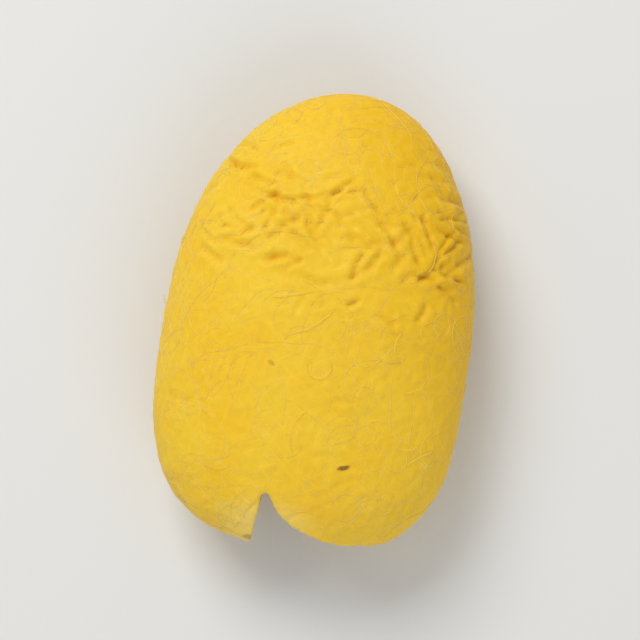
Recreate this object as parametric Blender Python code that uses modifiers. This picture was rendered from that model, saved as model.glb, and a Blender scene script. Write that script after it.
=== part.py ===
"""A cut silk cocoon: the hollow shell that a silkworm spun, slit open at one end, emptied and
pressed partly flat. It lies on its broad underside.

Metres, +Z up. +X runs across the shell and +Y along it, to the closed tip. The slit is in the -Y
end. The origin is on the ground, under the middle of the shell's box.
"""

import math

import bmesh
import bpy
from mathutils import Matrix, Vector

MM = 0.001

# The egg that the worm spun, before the slit was cut.
LENGTH = 38.7 * MM
WIDTH = 26.2 * MM
TOP_HEIGHT = 7.6 * MM  # from the widest level up to the crown
UNDER_DEPTH = 6.4 * MM  # from the widest level down to the ground
SEAT_PRESS = 0.4 * MM  # how much deeper the underside would be if the ground hadn't pressed it flat
WALL = 0.7 * MM
CUTTER_WELD = 0.001 * MM  # points of the slit's cutter this close are one
LIP_WELD = 0.08 * MM  # and points along the cut lips

# Where along the egg it is broadest and deepest: -1 is the slit end and 1 the closed tip.
WIDTH_BELLY = -0.08
DEPTH_BELLY = -0.05

# Superellipse powers: 2 is an ellipse, and more is blunter.
TIP_POWER = 2.05
SLIT_END_POWER = 3.0
CROWN_POWER = 2.2
UNDER_POWER = 2.5

END_BOW = 0.3 * MM  # both ends bend this far towards +X

# The slit seen from above, in mm from the middle of the egg: its closed end, then down the straight
# left lip, round outside the shell, and back up the longer right lip.
SLIT_OUTLINE_MM = (
    (-1.85, -14.75),
    (-2.4, -14.75),
    (-2.45, -16.0),
    (-2.6, -17.5),
    (-2.75, -19.6),
    (-2.8, -22.0),
    (9.5, -22.0),
    (8.2, -17.95),
    (4.6, -18.4),
    (2.4, -17.95),
    (0.5, -17.35),
    (-0.6, -16.65),
    (-1.25, -15.8),
)

AROUND = 56  # faces round the egg
ALONG = 34  # faces from end to end

SILK_YELLOW = (0.84, 0.53, 0.035, 1.0)
SILK_ROUGHNESS = 0.62


def clear_scene():
    for obj in list(bpy.data.objects):
        bpy.data.objects.remove(obj)


def new_collection(name):
    collection = bpy.data.collections.new(name)
    bpy.context.scene.collection.children.link(collection)
    return collection


def silk_material():
    material = bpy.data.materials.new("spun_silk")
    material.use_nodes = True
    shader = material.node_tree.nodes["Principled BSDF"]
    shader.inputs["Base Color"].default_value = SILK_YELLOW
    shader.inputs["Roughness"].default_value = SILK_ROUGHNESS
    shader.inputs["Metallic"].default_value = 0.0
    return material


def egg_share(along, belly, end_power):
    """The egg's half size at `along`, from -1 to 1, as a share of its half size at the belly."""
    if along > belly:
        reach, power = (along - belly) / (1 - belly), TIP_POWER
    else:
        reach, power = (belly - along) / (1 + belly), end_power
    return max(0.0, 1 - min(1.0, reach) ** power) ** (1 / power)


def blunted(part, power):
    """One coordinate of a unit circle, moved out to a superellipse of that power."""
    return math.copysign(abs(part) ** (2 / power), part)


def egg_point(direction):
    """The place on the egg of a point on the unit sphere whose poles are on the Y axis."""
    along = direction.y
    ring = math.hypot(direction.x, direction.z) or 1.0
    across, up = direction.x / ring, direction.z / ring
    power = CROWN_POWER if up > 0 else UNDER_POWER
    depth = TOP_HEIGHT if up > 0 else UNDER_DEPTH + SEAT_PRESS
    x = WIDTH / 2 * egg_share(along, WIDTH_BELLY, SLIT_END_POWER) * blunted(across, power)
    z = depth * egg_share(along, DEPTH_BELLY, SLIT_END_POWER) * blunted(up, power)
    return Vector((x + END_BOW * along**4, LENGTH / 2 * along, max(z, -UNDER_DEPTH)))


def uncut_egg(collection, material):
    """The closed egg, before the slit: a sphere drawn out to the egg's shape."""
    mesh = bpy.data.meshes.new("cocoon_shell")
    egg = bmesh.new()
    bmesh.ops.create_uvsphere(egg, u_segments=AROUND, v_segments=ALONG, radius=1.0)
    bmesh.ops.rotate(egg, verts=egg.verts, matrix=Matrix.Rotation(math.radians(-90), 3, "X"))
    for vertex in egg.verts:
        vertex.co = egg_point(vertex.co.normalized())
    egg.to_mesh(mesh)
    egg.free()
    mesh.materials.append(material)
    shell = bpy.data.objects.new("cocoon_shell", mesh)
    collection.objects.link(shell)
    return shell


def slit_cutter(collection):
    """A prism on the slit's outline, tall enough to cut the crown and the underside alike."""
    outline = bpy.data.curves.new("slit_outline", "CURVE")
    outline.dimensions = "2D"
    outline.fill_mode = "BOTH"
    outline.extrude = TOP_HEIGHT + UNDER_DEPTH
    spline = outline.splines.new("POLY")
    spline.points.add(len(SLIT_OUTLINE_MM) - 1)
    for point, (x, y) in zip(spline.points, SLIT_OUTLINE_MM):
        point.co = (x * MM, y * MM, 0.0, 1.0)
    spline.use_cyclic_u = True
    flat = bpy.data.objects.new("slit_outline", outline)
    collection.objects.link(flat)
    bpy.context.view_layer.update()
    graph = bpy.context.evaluated_depsgraph_get()
    mesh = bpy.data.meshes.new_from_object(flat.evaluated_get(graph))
    prism = bmesh.new()
    prism.from_mesh(mesh)
    bmesh.ops.remove_doubles(prism, verts=prism.verts, dist=CUTTER_WELD)
    bmesh.ops.recalc_face_normals(prism, faces=prism.faces)
    prism.to_mesh(mesh)
    prism.free()
    mesh.materials.append(bpy.data.materials.new("cut_side"))
    cutter = bpy.data.objects.new("slit_cutter", mesh)
    cutter.matrix_world = flat.matrix_world
    collection.objects.link(cutter)
    bpy.data.objects.remove(flat)
    cutter.hide_render = True
    cutter.display_type = "WIRE"
    return cutter


def cut_slit(shell, cutter):
    """Takes the slit out of the egg's surface, which is left open, with nothing across the cut."""
    slit = shell.modifiers.new("slit", "BOOLEAN")
    slit.operation = "DIFFERENCE"
    slit.material_mode = "TRANSFER"
    slit.object = cutter
    bpy.context.view_layer.update()
    graph = bpy.context.evaluated_depsgraph_get()
    mesh = bpy.data.meshes.new_from_object(shell.evaluated_get(graph))
    surface = bmesh.new()
    surface.from_mesh(mesh)
    across = [face for face in surface.faces if mesh.materials[face.material_index].name == "cut_side"]
    bmesh.ops.delete(surface, geom=across, context="FACES")
    bmesh.ops.remove_doubles(surface, verts=surface.verts, dist=LIP_WELD)
    surface.to_mesh(mesh)
    surface.free()
    mesh.materials.pop(index=len(mesh.materials) - 1)
    mesh.shade_smooth()
    shell.modifiers.clear()
    shell.data = mesh


def thicken(shell):
    """Gives the cut surface its wall, inwards, so that the lips are as thick as the rest."""
    wall = shell.modifiers.new("wall", "SOLIDIFY")
    wall.thickness = WALL
    wall.offset = -1.0


def stand_at_origin(base, shell):
    """Moves the empty that carries everything, so that the cut shell's box is over the origin."""
    bpy.context.view_layer.update()
    graph = bpy.context.evaluated_depsgraph_get()
    corners = [Vector(corner) for corner in shell.evaluated_get(graph).bound_box]
    middle = (corners[0] + corners[6]) / 2
    base.location = (-middle.x, -middle.y, UNDER_DEPTH)
    bpy.context.view_layer.update()


def main():
    clear_scene()
    parts = new_collection("silk_cocoon")
    cutters = new_collection("cutters")
    base = bpy.data.objects.new("widest_level", None)
    parts.objects.link(base)
    shell = uncut_egg(parts, silk_material())
    cutter = slit_cutter(cutters)
    cut_slit(shell, cutter)
    thicken(shell)
    shell.parent = base
    cutter.parent = base
    stand_at_origin(base, shell)


main()
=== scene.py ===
"""The looks of a cut silk cocoon: its matted yellow shell, the loose threads on it, and a plain studio.

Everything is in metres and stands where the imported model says. MM turns the real sizes, which are
given in millimetres, into metres.
"""

import math
import random

import bmesh
import bpy
import numpy as np
from mathutils import Matrix, Vector, noise
from mathutils.bvhtree import BVHTree


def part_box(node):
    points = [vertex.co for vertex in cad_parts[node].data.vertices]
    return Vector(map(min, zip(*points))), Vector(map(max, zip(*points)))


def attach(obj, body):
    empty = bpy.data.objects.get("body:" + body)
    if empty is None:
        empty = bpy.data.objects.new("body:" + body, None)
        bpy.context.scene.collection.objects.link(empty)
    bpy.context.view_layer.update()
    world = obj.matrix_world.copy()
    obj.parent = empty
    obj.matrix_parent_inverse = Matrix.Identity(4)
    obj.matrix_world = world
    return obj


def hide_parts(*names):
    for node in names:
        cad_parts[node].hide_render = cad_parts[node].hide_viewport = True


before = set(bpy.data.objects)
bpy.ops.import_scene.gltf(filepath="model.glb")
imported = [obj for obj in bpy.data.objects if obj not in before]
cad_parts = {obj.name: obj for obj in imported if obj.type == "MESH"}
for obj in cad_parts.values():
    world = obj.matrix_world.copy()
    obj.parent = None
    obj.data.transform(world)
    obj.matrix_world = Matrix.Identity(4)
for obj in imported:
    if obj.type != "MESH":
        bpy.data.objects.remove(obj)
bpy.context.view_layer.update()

# ---------------------------------------------------------------------------------------------
# The shell. One silkworm spins it from a single thread, wound in thousands of small loops and glued
# into a felt with sericin gum. It was slit at one end, emptied and pressed partly flat. Its closed
# half is crumpled, and its slit end is smoother.

MM = 0.001

LENGTH = 38.7 * MM
WIDTH = 26.2 * MM
TOP_HEIGHT = 7.6 * MM
UNDER_DEPTH = 6.4 * MM
SEAT_PRESS = 0.4 * MM  # how far the underside is pressed in where it rests
WALL = 0.7 * MM
WIDTH_BELLY = -0.08  # where it is widest, from -1 at the slit end to 1 at the closed tip
DEPTH_BELLY = -0.05  # and where it is deepest
TIP_POWER = 2.05  # 2 gives an ellipse, and more is squarer
SLIT_END_POWER = 3.0
CROWN_POWER = 2.2
UNDER_POWER = 2.5
END_BOW = 0.3 * MM  # how far both ends lean to the right

low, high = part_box("cocoon_shell")
egg_middle = Vector((0.0, high[1] - LENGTH / 2, low[2] + UNDER_DEPTH))

# The slit seen from above, from the middle of the egg: its closed end, down the left lip, round
# outside the shell, and back up the trimmed right lip.
SLIT_OUTLINE_MM = (
    (-1.85, -14.75),
    (-2.4, -14.75),
    (-2.45, -16.0),
    (-2.6, -17.5),
    (-2.75, -19.6),
    (-2.8, -22.0),
    (9.5, -22.0),
    (8.2, -17.95),
    (4.6, -18.4),
    (2.4, -17.95),
    (0.5, -17.35),
    (-0.6, -16.65),
    (-1.25, -15.8),
)


def egg_share(along, belly, end_power):
    """The egg's half size at `along`, from -1 to 1, as a share of its half size at the belly."""
    if along > belly:
        reach, power = (along - belly) / (1 - belly), TIP_POWER
    else:
        reach, power = (belly - along) / (1 + belly), end_power
    return max(0.0, 1 - min(1.0, reach) ** power) ** (1 / power)


def blunted(part, power):
    """One coordinate of a unit circle, moved out to a superellipse of that power."""
    return math.copysign(abs(part) ** (2 / power), part)


def egg_point(direction):
    """The place on the egg of a point on the unit sphere whose poles are on the Y axis."""
    along = direction.y
    ring = math.hypot(direction.x, direction.z) or 1.0
    across, up = direction.x / ring, direction.z / ring
    power = CROWN_POWER if up > 0 else UNDER_POWER
    depth = TOP_HEIGHT if up > 0 else UNDER_DEPTH + SEAT_PRESS
    x = WIDTH / 2 * egg_share(along, WIDTH_BELLY, SLIT_END_POWER) * blunted(across, power)
    z = depth * egg_share(along, DEPTH_BELLY, SLIT_END_POWER) * blunted(up, power)
    return Vector((x + END_BOW * along**4, LENGTH / 2 * along, max(z, -UNDER_DEPTH)))


FELT_GRAIN = 0.25 * MM  # the size of one face of the finished shell
EGG_AROUND = 176  # faces round the egg before it is felted
EGG_ALONG = 104  # and from end to end

egg_mesh = bpy.data.meshes.new("silk_shell")
egg = bmesh.new()
bmesh.ops.create_uvsphere(egg, u_segments=EGG_AROUND, v_segments=EGG_ALONG, radius=1.0)
bmesh.ops.rotate(egg, verts=egg.verts, matrix=Matrix.Rotation(math.radians(-90), 3, "X"))
for vertex in egg.verts:
    vertex.co = egg_point(vertex.co.normalized()) + egg_middle
egg.to_mesh(egg_mesh)
egg.free()
shell = bpy.data.objects.new("silk_shell", egg_mesh)
bpy.context.scene.collection.objects.link(shell)

prism_mesh = bpy.data.meshes.new("slit_prism")
prism = bmesh.new()
slit_floor = [
    prism.verts.new((egg_middle.x + x * MM, egg_middle.y + y * MM, -LENGTH))
    for x, y in SLIT_OUTLINE_MM
]
slit_face = prism.faces.new(slit_floor)
raised = bmesh.ops.extrude_face_region(prism, geom=[slit_face])["geom"]
for corner in raised:
    if isinstance(corner, bmesh.types.BMVert):
        corner.co.z = LENGTH
bmesh.ops.recalc_face_normals(prism, faces=prism.faces)
prism.to_mesh(prism_mesh)
prism.free()
knife = bpy.data.objects.new("slit_prism", prism_mesh)
bpy.context.scene.collection.objects.link(knife)

# The slit is cut in the egg's surface first, and the surface gets its wall afterwards, so that the
# lips are as thick as the rest. Faces that the knife leaves across the cut are taken away.


def settled(piece):
    """A new mesh of the piece with its modifiers applied, which replaces the old mesh."""
    bpy.context.view_layer.update()
    graph = bpy.context.evaluated_depsgraph_get()
    piece.data = bpy.data.meshes.new_from_object(piece.evaluated_get(graph))
    piece.modifiers.clear()
    return piece.data


LIP_WELD = 0.02 * MM
egg_mesh.materials.append(bpy.data.materials.new("silk_side"))
prism_mesh.materials.append(bpy.data.materials.new("cut_side"))
slit = shell.modifiers.new("slit", "BOOLEAN")
slit.operation = "DIFFERENCE"
slit.material_mode = "TRANSFER"
slit.object = knife
cut_mesh = settled(shell)
surface = bmesh.new()
surface.from_mesh(cut_mesh)
across = [f for f in surface.faces if cut_mesh.materials[f.material_index].name == "cut_side"]
bmesh.ops.delete(surface, geom=across, context="FACES")
bmesh.ops.remove_doubles(surface, verts=surface.verts, dist=LIP_WELD)
surface.to_mesh(cut_mesh)
surface.free()
bpy.data.objects.remove(knife)

wall = shell.modifiers.new("wall", "SOLIDIFY")
wall.thickness = WALL
wall.offset = -1.0
felt = shell.modifiers.new("felt", "REMESH")
felt.mode = "VOXEL"
felt.voxel_size = FELT_GRAIN
soften = shell.modifiers.new("soften", "SMOOTH")
soften.factor = 0.5
soften.iterations = 4
felted = settled(shell)
felted.name = "silk_shell"
felted.polygons.foreach_set("use_smooth", [True] * len(felted.polygons))

count = len(felted.vertices)
place = np.empty(count * 3)
felted.vertices.foreach_get("co", place)
place = place.reshape(-1, 3) / MM
facing = np.empty(count * 3)
felted.vertices.foreach_get("normal", facing)
facing = facing.reshape(-1, 3)
middle_mm = np.array(egg_middle) / MM
half_mm = np.array((WIDTH / 2, LENGTH / 2, TOP_HEIGHT)) / MM
outward = (place - middle_mm) / half_mm**2
outward /= np.linalg.norm(outward, axis=1)[:, None]

# Two shares from 0 to 1: how far a place belongs to the outer face of the wall and not the inner
# one, and how far it belongs to the shell's upper side and not its underside.
OUTER_FROM, UPPER_FROM = 0.1, -0.25
SHARE_FADE = 0.5
outer = np.clip((np.einsum("ij,ij->i", facing, outward) - OUTER_FROM) / SHARE_FADE, 0, 1)
upper = np.clip((outward[:, 2] - UPPER_FROM) / SHARE_FADE, 0, 1)


def ease(share):
    """A smooth step from 0 to 1 as share goes from 0 to 1."""
    share = np.clip(share, 0, 1)
    return share * share * (3 - 2 * share)


def lumps(size, seed):
    """Smooth noise over the shell, about -1 to 1, with lumps of that size in mm."""
    shift = Vector((seed * 17.3, seed * 9.1, seed * 5.7))
    return np.array([noise.noise(Vector(point) / size + shift) for point in place])


# Handling and the press left broad dents, with shallower dimples on them. Both faces of the wall
# move with them. Sizes and depths here are in mm.
DENT_SIZE, DENT_DEPTH = 9.5, 0.34
DIMPLE_SIZE, DIMPLE_DEPTH = 4.2, 0.09
broad = DENT_DEPTH * lumps(DENT_SIZE, 1) + DIMPLE_DEPTH * lumps(DIMPLE_SIZE, 2)

# Each crease is a short bent groove with its silk pushed up along both sides. Nearly three in four
# lie in the crumpled band across the closed half. The rest are smaller, and lie anywhere. Places
# are in mm from the middle of the shell, and a crease that doesn't lean runs straight across it.
CREASE_COUNT = 190
SHARE_IN_BAND = 0.72
BAND_LOW, BAND_HIGH = 1.0, 13.8
BAND_MIDDLE, BAND_SPREAD = 7.6, 2.9
REACH_ACROSS, REACH_ALONG = 11.0, 17.0
SHARE_ACROSS = 0.72  # of the creases run nearly across
SMALL_LEAN, LARGE_LEAN = 24, 80  # degrees: the usual one of those, and the most of the rest
BAND_HALF_LENGTHS, OTHER_HALF_LENGTHS = (0.7, 2.2), (0.6, 1.4)
BAND_DEPTHS, OTHER_DEPTHS = (0.07, 0.24), (0.03, 0.08)
GROOVE_WIDTHS = (0.19, 0.33)
MOST_BEND = 0.16  # mm off the straight, 1 mm from a crease's middle
END_TAPER = 1.6  # full depth over the middle six tenths of a crease, then fading to its ends
SHOULDER = 0.55  # how high the pushed-up silk stands, as a share of the groove's depth
SHOULDER_OUT, SHOULDER_WIDTH = 1.9, 1.1  # in widths of the groove
SIDE_FROM, SIDE_FADE = 0.08, 0.4  # a crease stays on its own side, and fades towards the edge
DEEPEST, HIGHEST = -0.62, 0.42  # the most where creases cross
dice = random.Random(41)
crease = np.zeros(count)
for number in range(CREASE_COUNT):
    in_band = number < CREASE_COUNT * SHARE_IN_BAND
    side = 1 if number % 4 else -1  # one in four is on the underside
    u = dice.uniform(-REACH_ACROSS, REACH_ACROSS)
    if in_band:
        v = min(max(dice.gauss(BAND_MIDDLE, BAND_SPREAD), BAND_LOW), BAND_HIGH)
    else:
        v = dice.uniform(-REACH_ALONG, REACH_ALONG)
    if dice.random() < SHARE_ACROSS:
        lean = math.radians(dice.gauss(0, SMALL_LEAN))
    else:
        lean = math.radians(dice.uniform(-LARGE_LEAN, LARGE_LEAN))
    half = dice.uniform(*(BAND_HALF_LENGTHS if in_band else OTHER_HALF_LENGTHS))
    width = dice.uniform(*GROOVE_WIDTHS)
    depth = dice.uniform(*(BAND_DEPTHS if in_band else OTHER_DEPTHS))
    bend = dice.uniform(-MOST_BEND, MOST_BEND)
    run = (place[:, 0] - u) * math.cos(lean) + (place[:, 1] - v) * math.sin(lean)
    off = (place[:, 1] - v) * math.cos(lean) - (place[:, 0] - u) * math.sin(lean)
    off = off - bend * run**2
    taper = ease(END_TAPER * (1 - (run / half) ** 2))
    groove = -np.exp(-((off / width) ** 2))
    beside = (np.abs(off) - SHOULDER_OUT * width) / (SHOULDER_WIDTH * width)
    shoulder = SHOULDER * np.exp(-(beside**2))
    which = ease((outward[:, 2] * side - SIDE_FROM) / SIDE_FADE)
    crease += depth * (groove + shoulder) * taper * which
crease = np.clip(crease, DEEPEST, HIGHEST)

# The gum dries in pebbly grains about a millimetre across, with finer grit on them. The noise is
# folded at zero, which leaves rounded pebbles with sharp valleys between them. The inner face is
# smoother. Sizes and heights are in mm.
PEBBLE_SIZE, PEBBLE_HEIGHT = 1.15, 0.06
GRIT_SIZE, GRIT_HEIGHT = 0.62, 0.045
INNER_SIZE, INNER_HEIGHT = 1.3, 0.05
PEBBLE_STRENGTH, VALLEY_LEVEL = 2.2, 0.55
pebbles = np.abs(lumps(PEBBLE_SIZE, 3)) * PEBBLE_STRENGTH - VALLEY_LEVEL
grain = PEBBLE_HEIGHT * pebbles + GRIT_HEIGHT * lumps(GRIT_SIZE, 4)
inner_grain = INNER_HEIGHT * lumps(INNER_SIZE, 5)

# The lips of the slit curl a little inwards on the upper side, and not on the underside. The curl
# fades out from its middle over these half sizes in mm.
LIP_X, LIP_Y = -1.6, -17.6
LIP_HALF_WIDTH, LIP_HALF_LENGTH = 5.5, 3.4
LIP_CURL = 0.35
lip = ease(
    1 - np.hypot((place[:, 0] - LIP_X) / LIP_HALF_WIDTH, (place[:, 1] - LIP_Y) / LIP_HALF_LENGTH)
)
curl = -LIP_CURL * lip * upper

# The creases show through to the inside by less than half.
SHOWS_INSIDE = 0.45
shift = broad + curl + outer * (crease + grain)
shift = shift + (1 - outer) * (SHOWS_INSIDE * crease + inner_grain)

# The pressed underside stays nearly flat: it has only SEAT_RELIEF of the relief up to SEAT_EDGE, and
# all of it SEAT_FADE above that, in mm. The shell's lowest place is then set on the ground.
SEAT_EDGE, SEAT_FADE = 0.2, 2.2
SEAT_RELIEF = 0.12
off_seat = ease((place[:, 2] - SEAT_EDGE) / SEAT_FADE)
shift *= SEAT_RELIEF + (1 - SEAT_RELIEF) * off_seat
place = place + outward * shift[:, None]
place[:, 2] = np.maximum(place[:, 2] - place[:, 2].min(), 0)
felted.vertices.foreach_set("co", (place * MM).ravel())
felted.update()

# The material reads how deep each place lies in a crease or between grains, where it paints shade, and
# how near it is to the lips, where it paints a highlight.
FULL_HOLLOW = 0.45
GRAIN_SHARE = 0.6
crease_shade = felted.attributes.new("crease_shade", "FLOAT", "POINT")
crease_shade.data.foreach_set("value", np.clip(-(crease + GRAIN_SHARE * grain) / FULL_HOLLOW, 0, 1))
lip_painted_light = felted.attributes.new("lip", "FLOAT", "POINT")
lip_painted_light.data.foreach_set("value", lip)

# Spun silk, felted and gummed: matt from its crossing threads, with a soft gleam at a low angle and
# light that soaks a little way in. Its yellow is carotene in the gum. Creases and the valleys between
# grains are coloured a deeper amber as painted shade, and the lips of the slit paler as a painted
# highlight.


def linear(code):
    """An sRGB hex colour as the linear numbers that a shader takes."""
    parts = [int(code[i : i + 2], 16) / 255 for i in (1, 3, 5)]
    return tuple(p / 12.92 if p <= 0.04045 else ((p + 0.055) / 1.055) ** 2.4 for p in parts) + (1.0,)


def add(tree, kind, settings, links=()):
    """A new node, with its settings by property or socket, and its links by socket.

    A socket is given by its name or its number.
    """
    made = tree.nodes.new(kind)
    for name, value in settings.items():
        if isinstance(name, str) and hasattr(made, name):
            setattr(made, name, value)
        else:
            made.inputs[name].default_value = value
    for name, source in dict(links).items():
        tree.links.new(source, made.inputs[name])
    return made


MIX_A, MIX_B, MIX_RESULT = 6, 7, 2  # the colour sockets of a Mix node, by number

SILK_YELLOW = "#F0C72E"
SILK_DEEP = "#EFBA0C"
# The pale yellow is a painted highlight for the lips of the slit, and the amber is painted shade for
# creases and hollows.
PAINTED_LIP_LIGHT = "#F8D870"
PAINTED_CREASE_SHADE = "#E2A406"
SPECK_BROWN = "#6E3D12"

silk = bpy.data.materials.new("spun_silk")
silk.use_nodes = True
tree = silk.node_tree
shader = tree.nodes["Principled BSDF"]
shader.inputs["Roughness"].default_value = 0.62
shader.inputs["IOR"].default_value = 1.54
shader.inputs["Specular IOR Level"].default_value = 0.25
shader.inputs["Sheen Weight"].default_value = 0.1
shader.inputs["Sheen Roughness"].default_value = 0.45
shader.inputs["Sheen Tint"].default_value = linear("#FFF1C4")
shader.inputs["Subsurface Weight"].default_value = 0.12
shader.inputs["Subsurface Radius"].default_value = (1.0, 0.55, 0.12)
shader.inputs["Subsurface Scale"].default_value = 0.8 * MM

where = add(tree, "ShaderNodeTexCoord", {}).outputs["Object"]
in_mm = add(tree, "ShaderNodeVectorMath", {"operation": "SCALE", "Scale": 1 / MM}, {0: where})
mm = in_mm.outputs[0]

# Blotches about 5 mm across go up to half way to the deeper yellow.
BLOTCH_SIZE = 5.0
blotch = add(tree, "ShaderNodeTexNoise", {"Scale": 1 / BLOTCH_SIZE, "Detail": 3.0}, {"Vector": mm})
mottle = add(
    tree,
    "ShaderNodeMapRange",
    {"From Min": 0.36, "From Max": 0.64, "To Max": 0.5},
    {"Value": blotch.outputs["Fac"]},
)
# Painted haze: the yellow is deeper towards the right side and a little towards the tip, and paler
# towards the left and the slit end, as under a pale veil of reflected light. The change runs between
# these two distances in mm from the middle of the shell.
HAZE_FREE_WAY = (0.86, 0.5, 0.0)
HAZE_FADES_FROM, HAZE_GONE_AT = 1.0, 12.0
toward_haze_free = add(
    tree, "ShaderNodeVectorMath", {"operation": "DOT_PRODUCT", 1: HAZE_FREE_WAY}, {0: mm}
)
haze_free_share = add(
    tree,
    "ShaderNodeMapRange",
    {"From Min": HAZE_FADES_FROM, "From Max": HAZE_GONE_AT, "To Max": 0.9},
    {"Value": toward_haze_free.outputs["Value"]},
)
# The deeper of the random blotches and the painted haze is taken.
mottle_and_haze = add(
    tree, "ShaderNodeMath", {"operation": "MAXIMUM"}, {0: mottle.outputs[0], 1: haze_free_share.outputs[0]}
)
body = add(
    tree,
    "ShaderNodeMix",
    {"data_type": "RGBA", MIX_A: linear(SILK_YELLOW), MIX_B: linear(SILK_DEEP)},
    {0: mottle_and_haze.outputs[0]},
)
# Painted highlight: near the lips of the slit the yellow is coloured paler, as if more light fell
# there.
lip_light_mask = add(tree, "ShaderNodeAttribute", {"attribute_name": "lip"})
pale = add(
    tree,
    "ShaderNodeMix",
    {"data_type": "RGBA", MIX_B: linear(PAINTED_LIP_LIGHT)},
    {0: lip_light_mask.outputs["Fac"], MIX_A: body.outputs[MIX_RESULT]},
)
# Painted shade: the deepest creases and the valleys between grains are coloured up to this share of the
# way to amber.
CREASE_SHADE_STRENGTH = 0.55  # how far the deepest hollows go to amber
crease_shade_mask = add(tree, "ShaderNodeAttribute", {"attribute_name": "crease_shade"})
crease_shade_share = add(
    tree,
    "ShaderNodeMath",
    {"operation": "MULTIPLY", 1: CREASE_SHADE_STRENGTH},
    {0: crease_shade_mask.outputs["Fac"]},
)
deep = add(
    tree,
    "ShaderNodeMix",
    {"data_type": "RGBA", MIX_B: linear(PAINTED_CREASE_SHADE)},
    {0: crease_shade_share.outputs[0], MIX_A: pale.outputs[MIX_RESULT]},
)

# Threads are about 0.03 mm thick in life. They are drawn as coarser bundles so that they show: one
# cell of the noise is 0.4 mm, for a bundle about 0.2 mm wide and a gap. They lie three ways, each
# with its turn in degrees and how many times longer than wide a bundle is.
THREAD_BUNDLE = 0.2
THREAD_RELIEF = 0.06 * MM
THREAD_WAYS = ((25, 7.0), (-40, 7.0), (80, 6.0))
threads = []
for angle, stretch in THREAD_WAYS:
    turned = add(
        tree,
        "ShaderNodeMapping",
        {
            "vector_type": "TEXTURE",
            "Rotation": (0, 0, math.radians(angle)),
            "Scale": (stretch, 1, 1),
        },
        {"Vector": mm},
    )
    threads.append(
        add(
            tree,
            "ShaderNodeTexNoise",
            {"Scale": 1 / (2 * THREAD_BUNDLE), "Detail": 2.0, "Distortion": 0.6},
            {"Vector": turned.outputs[0]},
        ).outputs["Fac"]
    )
crossed = add(tree, "ShaderNodeMath", {"operation": "MAXIMUM"}, {0: threads[0], 1: threads[1]})
felt_height = add(
    tree, "ShaderNodeMath", {"operation": "MAXIMUM"}, {0: crossed.outputs[0], 1: threads[2]}
)
# Painted light and shade: the colour is up to 4 % lighter on the raised bundles and up to 5 % darker in
# the gaps between them.
bundle_painted_light = add(
    tree,
    "ShaderNodeMapRange",
    {"From Min": 0.45, "From Max": 0.75, "To Min": 0.95, "To Max": 1.04},
    {"Value": felt_height.outputs[0]},
)
bundle_lit_colour = add(
    tree,
    "ShaderNodeVectorMath",
    {"operation": "SCALE"},
    {0: deep.outputs[MIX_RESULT], "Scale": bundle_painted_light.outputs[0]},
)

# Specks that stuck to the gum, such as chrysalis skin: a dark one near the slit, a faint one nearer
# the middle, and a stained corner on the left lip. Each is x, y, z, half length and half width in
# mm, turn in degrees, and strength.
SPECKS = (
    (3.9, -11.6, 13.0, 0.52, 0.2, 20, 0.8),
    (-3.3, -4.1, 13.8, 0.35, 0.2, -30, 0.35),
    (-3.0, -18.9, 9.1, 0.5, 0.35, 20, 0.5),
)
SPECK_REACH = 1.6  # about how far up and down in mm a stain reaches, so that it meets the silk
RAGS_PER_MM = 2.2
RAGGEDNESS = 1.1
STAIN_ENDS, STAIN_FULL = 1.75, 1.25
ragged = add(tree, "ShaderNodeTexNoise", {"Scale": RAGS_PER_MM, "Detail": 2.0}, {"Vector": mm})
colour = bundle_lit_colour.outputs[0]
for x, y, z, long, short, turn, strength in SPECKS:
    local = add(
        tree,
        "ShaderNodeMapping",
        {
            "vector_type": "TEXTURE",
            "Location": (x, y, z),
            "Rotation": (0, 0, math.radians(turn)),
            "Scale": (long, short, SPECK_REACH),
        },
        {"Vector": mm},
    )
    reach = add(tree, "ShaderNodeVectorMath", {"operation": "LENGTH"}, {0: local.outputs[0]})
    rough_edge = add(
        tree,
        "ShaderNodeMath",
        {"operation": "MULTIPLY_ADD", 1: RAGGEDNESS},
        {0: ragged.outputs["Fac"], 2: reach.outputs["Value"]},
    )
    stain = add(
        tree,
        "ShaderNodeMapRange",
        {"From Min": STAIN_ENDS, "From Max": STAIN_FULL, "To Min": 0.0, "To Max": strength},
        {"Value": rough_edge.outputs[0]},
    )
    colour = add(
        tree,
        "ShaderNodeMix",
        {"data_type": "RGBA", MIX_B: linear(SPECK_BROWN)},
        {0: stain.outputs[0], MIX_A: colour},
    ).outputs[MIX_RESULT]
tree.links.new(colour, shader.inputs["Base Color"])
fibre_bump = add(
    tree,
    "ShaderNodeBump",
    {"Strength": 0.55, "Distance": THREAD_RELIEF},
    {"Height": felt_height.outputs[0]},
)
tree.links.new(fibre_bump.outputs[0], shader.inputs["Normal"])

felted.materials.clear()
felted.materials.append(silk)
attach(shell, "root")
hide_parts("cocoon_shell")

# ---------------------------------------------------------------------------------------------
# The outermost threads, which the silkworm spins first, before the wall. They are the same silk and
# lie in loose loops on the felt, held to it by the gum. A few stand proud of it as floss, and these
# may start anywhere on the outer face.

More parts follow.
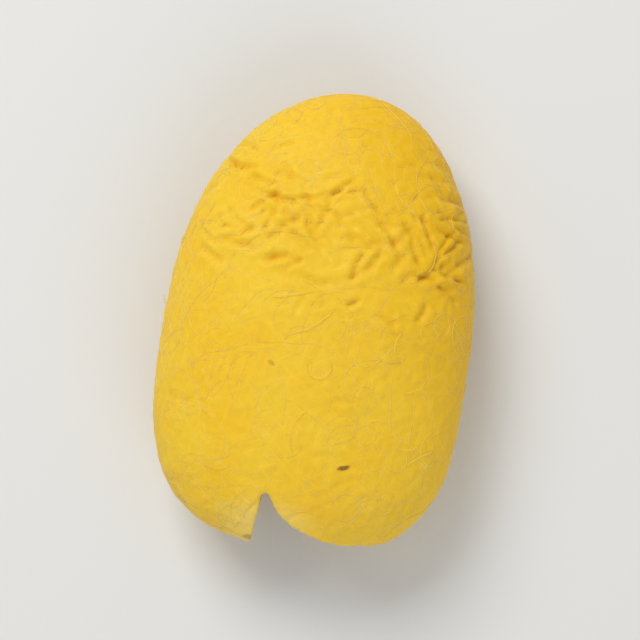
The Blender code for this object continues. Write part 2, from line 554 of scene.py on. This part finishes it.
STRAND_HALF = 0.022 * MM  # half a strand's thickness, a little over life size so that it shows
STRAND_STEP = 0.34 * MM  # from one point of a strand to the next
STRAND_COUNT = 560
FLOSS_COUNT = 44
STRAND_STEPS, FLOSS_STEPS = (18, 34), (8, 14)  # the fewest and most points
STRAND_LIFTS, FLOSS_LIFTS = (0.0, 0.02), (0.15, 0.5)  # mm that a strand rises from the felt
THICKNESSES = (0.7, 1.2)  # from the finest strand to the thickest, as shares of STRAND_HALF
FIRST_TURN, TURN_CHANGE, TIGHTEST_TURN = 0.26, 0.05, 0.42  # radians at each step
OUTER_FACE = 0.9  # strands start only where the share of the outer face is above this
GROUND_GAP = 0.1 * MM  # strands that come nearer to the ground than this are left out
SIDES = 3
END_SHARE = 0.25  # how thick a tube is at its two ends, as a share of the rest
UNTAKEN_WAY = Vector((0.31, 0.17, 0.93))  # turns each ring, and strands hardly ever run along it

corners = [vertex.co.copy() for vertex in felted.vertices]
skin = BVHTree.FromPolygons(corners, [tuple(face.vertices) for face in felted.polygons])
outer_points = np.nonzero(outer > OUTER_FACE)[0]
tubes = bmesh.new()


def lay_tube(points, half):
    """A thin three-sided tube through the points, closed at both ends."""
    rings = []
    for index, point in enumerate(points):
        ahead = points[min(index + 1, len(points) - 1)]
        behind = points[max(index - 1, 0)]
        way = (ahead - behind).normalized()
        side = way.cross(UNTAKEN_WAY).normalized()
        up = side.cross(way)
        thin = half * (END_SHARE if index in (0, len(points) - 1) else 1.0)
        ring = []
        for number in range(SIDES):
            turn = 2 * math.pi * number / SIDES
            spot = point + (side * math.cos(turn) + up * math.sin(turn)) * thin
            ring.append(tubes.verts.new((spot.x, spot.y, max(spot.z, 0.0))))
        rings.append(ring)
    for first, second in zip(rings, rings[1:]):
        for number in range(SIDES):
            after = (number + 1) % SIDES
            tubes.faces.new((first[number], first[after], second[after], second[number]))
    tubes.faces.new(tuple(reversed(rings[0])))
    tubes.faces.new(tuple(rings[-1]))


def strand_path(start, steps, lift):
    """A looping walk over the felt, which rises by lift in its middle and is bedded at its ends."""
    spot, normal, _, _ = skin.find_nearest(Vector(start))
    heading = Vector((dice.gauss(0, 1), dice.gauss(0, 1), dice.gauss(0, 1)))
    turn_rate = dice.uniform(-FIRST_TURN, FIRST_TURN)
    path = []
    for step in range(steps):
        rise = lift * math.sin(math.pi * step / (steps - 1))
        path.append(spot + normal * rise)
        heading = (heading - normal * heading.dot(normal)).normalized()
        turn_rate += dice.gauss(0, TURN_CHANGE)
        turn_rate = max(-TIGHTEST_TURN, min(TIGHTEST_TURN, turn_rate))
        heading = Matrix.Rotation(turn_rate, 3, normal) @ heading
        spot, normal, _, _ = skin.find_nearest(spot + heading * STRAND_STEP)
    return path


for number in range(STRAND_COUNT + FLOSS_COUNT):
    start = corners[int(outer_points[dice.randrange(len(outer_points))])]
    loose = number >= STRAND_COUNT
    steps = dice.randint(*(FLOSS_STEPS if loose else STRAND_STEPS))
    lift = dice.uniform(*(FLOSS_LIFTS if loose else STRAND_LIFTS)) * MM
    path = strand_path(start, steps, lift)
    if min(point.z for point in path) < GROUND_GAP:
        continue
    lay_tube(path, STRAND_HALF * dice.uniform(*THICKNESSES))

strand_mesh = bpy.data.meshes.new("silk_threads")
tubes.to_mesh(strand_mesh)
tubes.free()
strand_mesh.polygons.foreach_set("use_smooth", [True] * len(strand_mesh.polygons))
strands = bpy.data.objects.new("silk_threads", strand_mesh)
bpy.context.scene.collection.objects.link(strands)

# Raw silk thread: a single thread is smoother than the felt of many, so it gleams a little. Its
# yellow varies along it, in patches about 3 mm long.
THREAD_YELLOW = "#F6CF3C"
THREAD_PALE = "#FADF78"
PATCHES_PER_MM = 0.35
thread_silk = bpy.data.materials.new("raw_silk_thread")
thread_silk.use_nodes = True
tree = thread_silk.node_tree
shader = tree.nodes["Principled BSDF"]
shader.inputs["Roughness"].default_value = 0.42
shader.inputs["IOR"].default_value = 1.54
shader.inputs["Sheen Weight"].default_value = 0.2
where = add(tree, "ShaderNodeTexCoord", {}).outputs["Object"]
in_mm = add(tree, "ShaderNodeVectorMath", {"operation": "SCALE", "Scale": 1 / MM}, {0: where})
patches = add(
    tree,
    "ShaderNodeTexNoise",
    {"Scale": PATCHES_PER_MM, "Detail": 2.0},
    {"Vector": in_mm.outputs[0]},
)
tone = add(
    tree,
    "ShaderNodeMix",
    {"data_type": "RGBA", MIX_A: linear(THREAD_YELLOW), MIX_B: linear(THREAD_PALE)},
    {0: patches.outputs["Fac"]},
)
tree.links.new(tone.outputs[MIX_RESULT], shader.inputs["Base Color"])
strand_mesh.materials.append(thread_silk)
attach(strands, "root")

# ---------------------------------------------------------------------------------------------
# The studio: a pale floor of matt paper, a smaller light for the relief and a wide one to fill,
# an even world, and a camera that looks straight down on the shell.

floor_mesh = bpy.data.meshes.new("floor")
FLOOR_HALF = 0.6  # metres
sheet = bmesh.new()
bmesh.ops.create_grid(sheet, x_segments=1, y_segments=1, size=FLOOR_HALF)
sheet.to_mesh(floor_mesh)
sheet.free()
floor = bpy.data.objects.new("floor", floor_mesh)
bpy.context.scene.collection.objects.link(floor)
paper = bpy.data.materials.new("matt_paper")
paper.use_nodes = True
paper_shader = paper.node_tree.nodes["Principled BSDF"]
paper_shader.inputs["Base Color"].default_value = linear("#E2E2E0")
paper_shader.inputs["Roughness"].default_value = 0.9
floor_mesh.materials.append(paper)


def soft_light(name, spot, size, watts):
    """A square area light at that place, aimed at the shell."""
    lamp = bpy.data.lights.new(name, "AREA")
    lamp.size = size
    lamp.energy = watts
    holder = bpy.data.objects.new(name, lamp)
    holder.location = spot
    aim = Vector((0, 0, high[2] / 2)) - Vector(spot)
    holder.rotation_euler = aim.to_track_quat("-Z", "Y").to_euler()
    bpy.context.scene.collection.objects.link(holder)


soft_light("key", spot=(-0.18, 0.24, 0.32), size=0.22, watts=1.2)
soft_light("fill", spot=(0.16, -0.32, 0.26), size=0.4, watts=0.56)
world = bpy.data.worlds.new("studio")
bpy.context.scene.world = world
world.use_nodes = True
world.node_tree.nodes["Background"].inputs["Color"].default_value = (1, 1, 1, 1)
world.node_tree.nodes["Background"].inputs["Strength"].default_value = 0.445

# No tone curve is added to the light that the silk gives back.
bpy.context.scene.view_settings.view_transform = "Standard"

LEAN = math.radians(9.5)  # the shell leans this far to the right in the view
SHARE_OF_FRAME = 0.72
LENS = 150.0
eye = bpy.data.cameras.new("eye")
eye.lens = LENS
eye.clip_start = 0.01
distance = LENGTH / SHARE_OF_FRAME * LENS / eye.sensor_width
camera = bpy.data.objects.new("eye", eye)
camera.location = (0, 0, high[2] / 2 + distance)
camera.rotation_euler = (0, 0, LEAN)
bpy.context.scene.collection.objects.link(camera)
bpy.context.scene.camera = camera

bpy.context.view_layer.update()
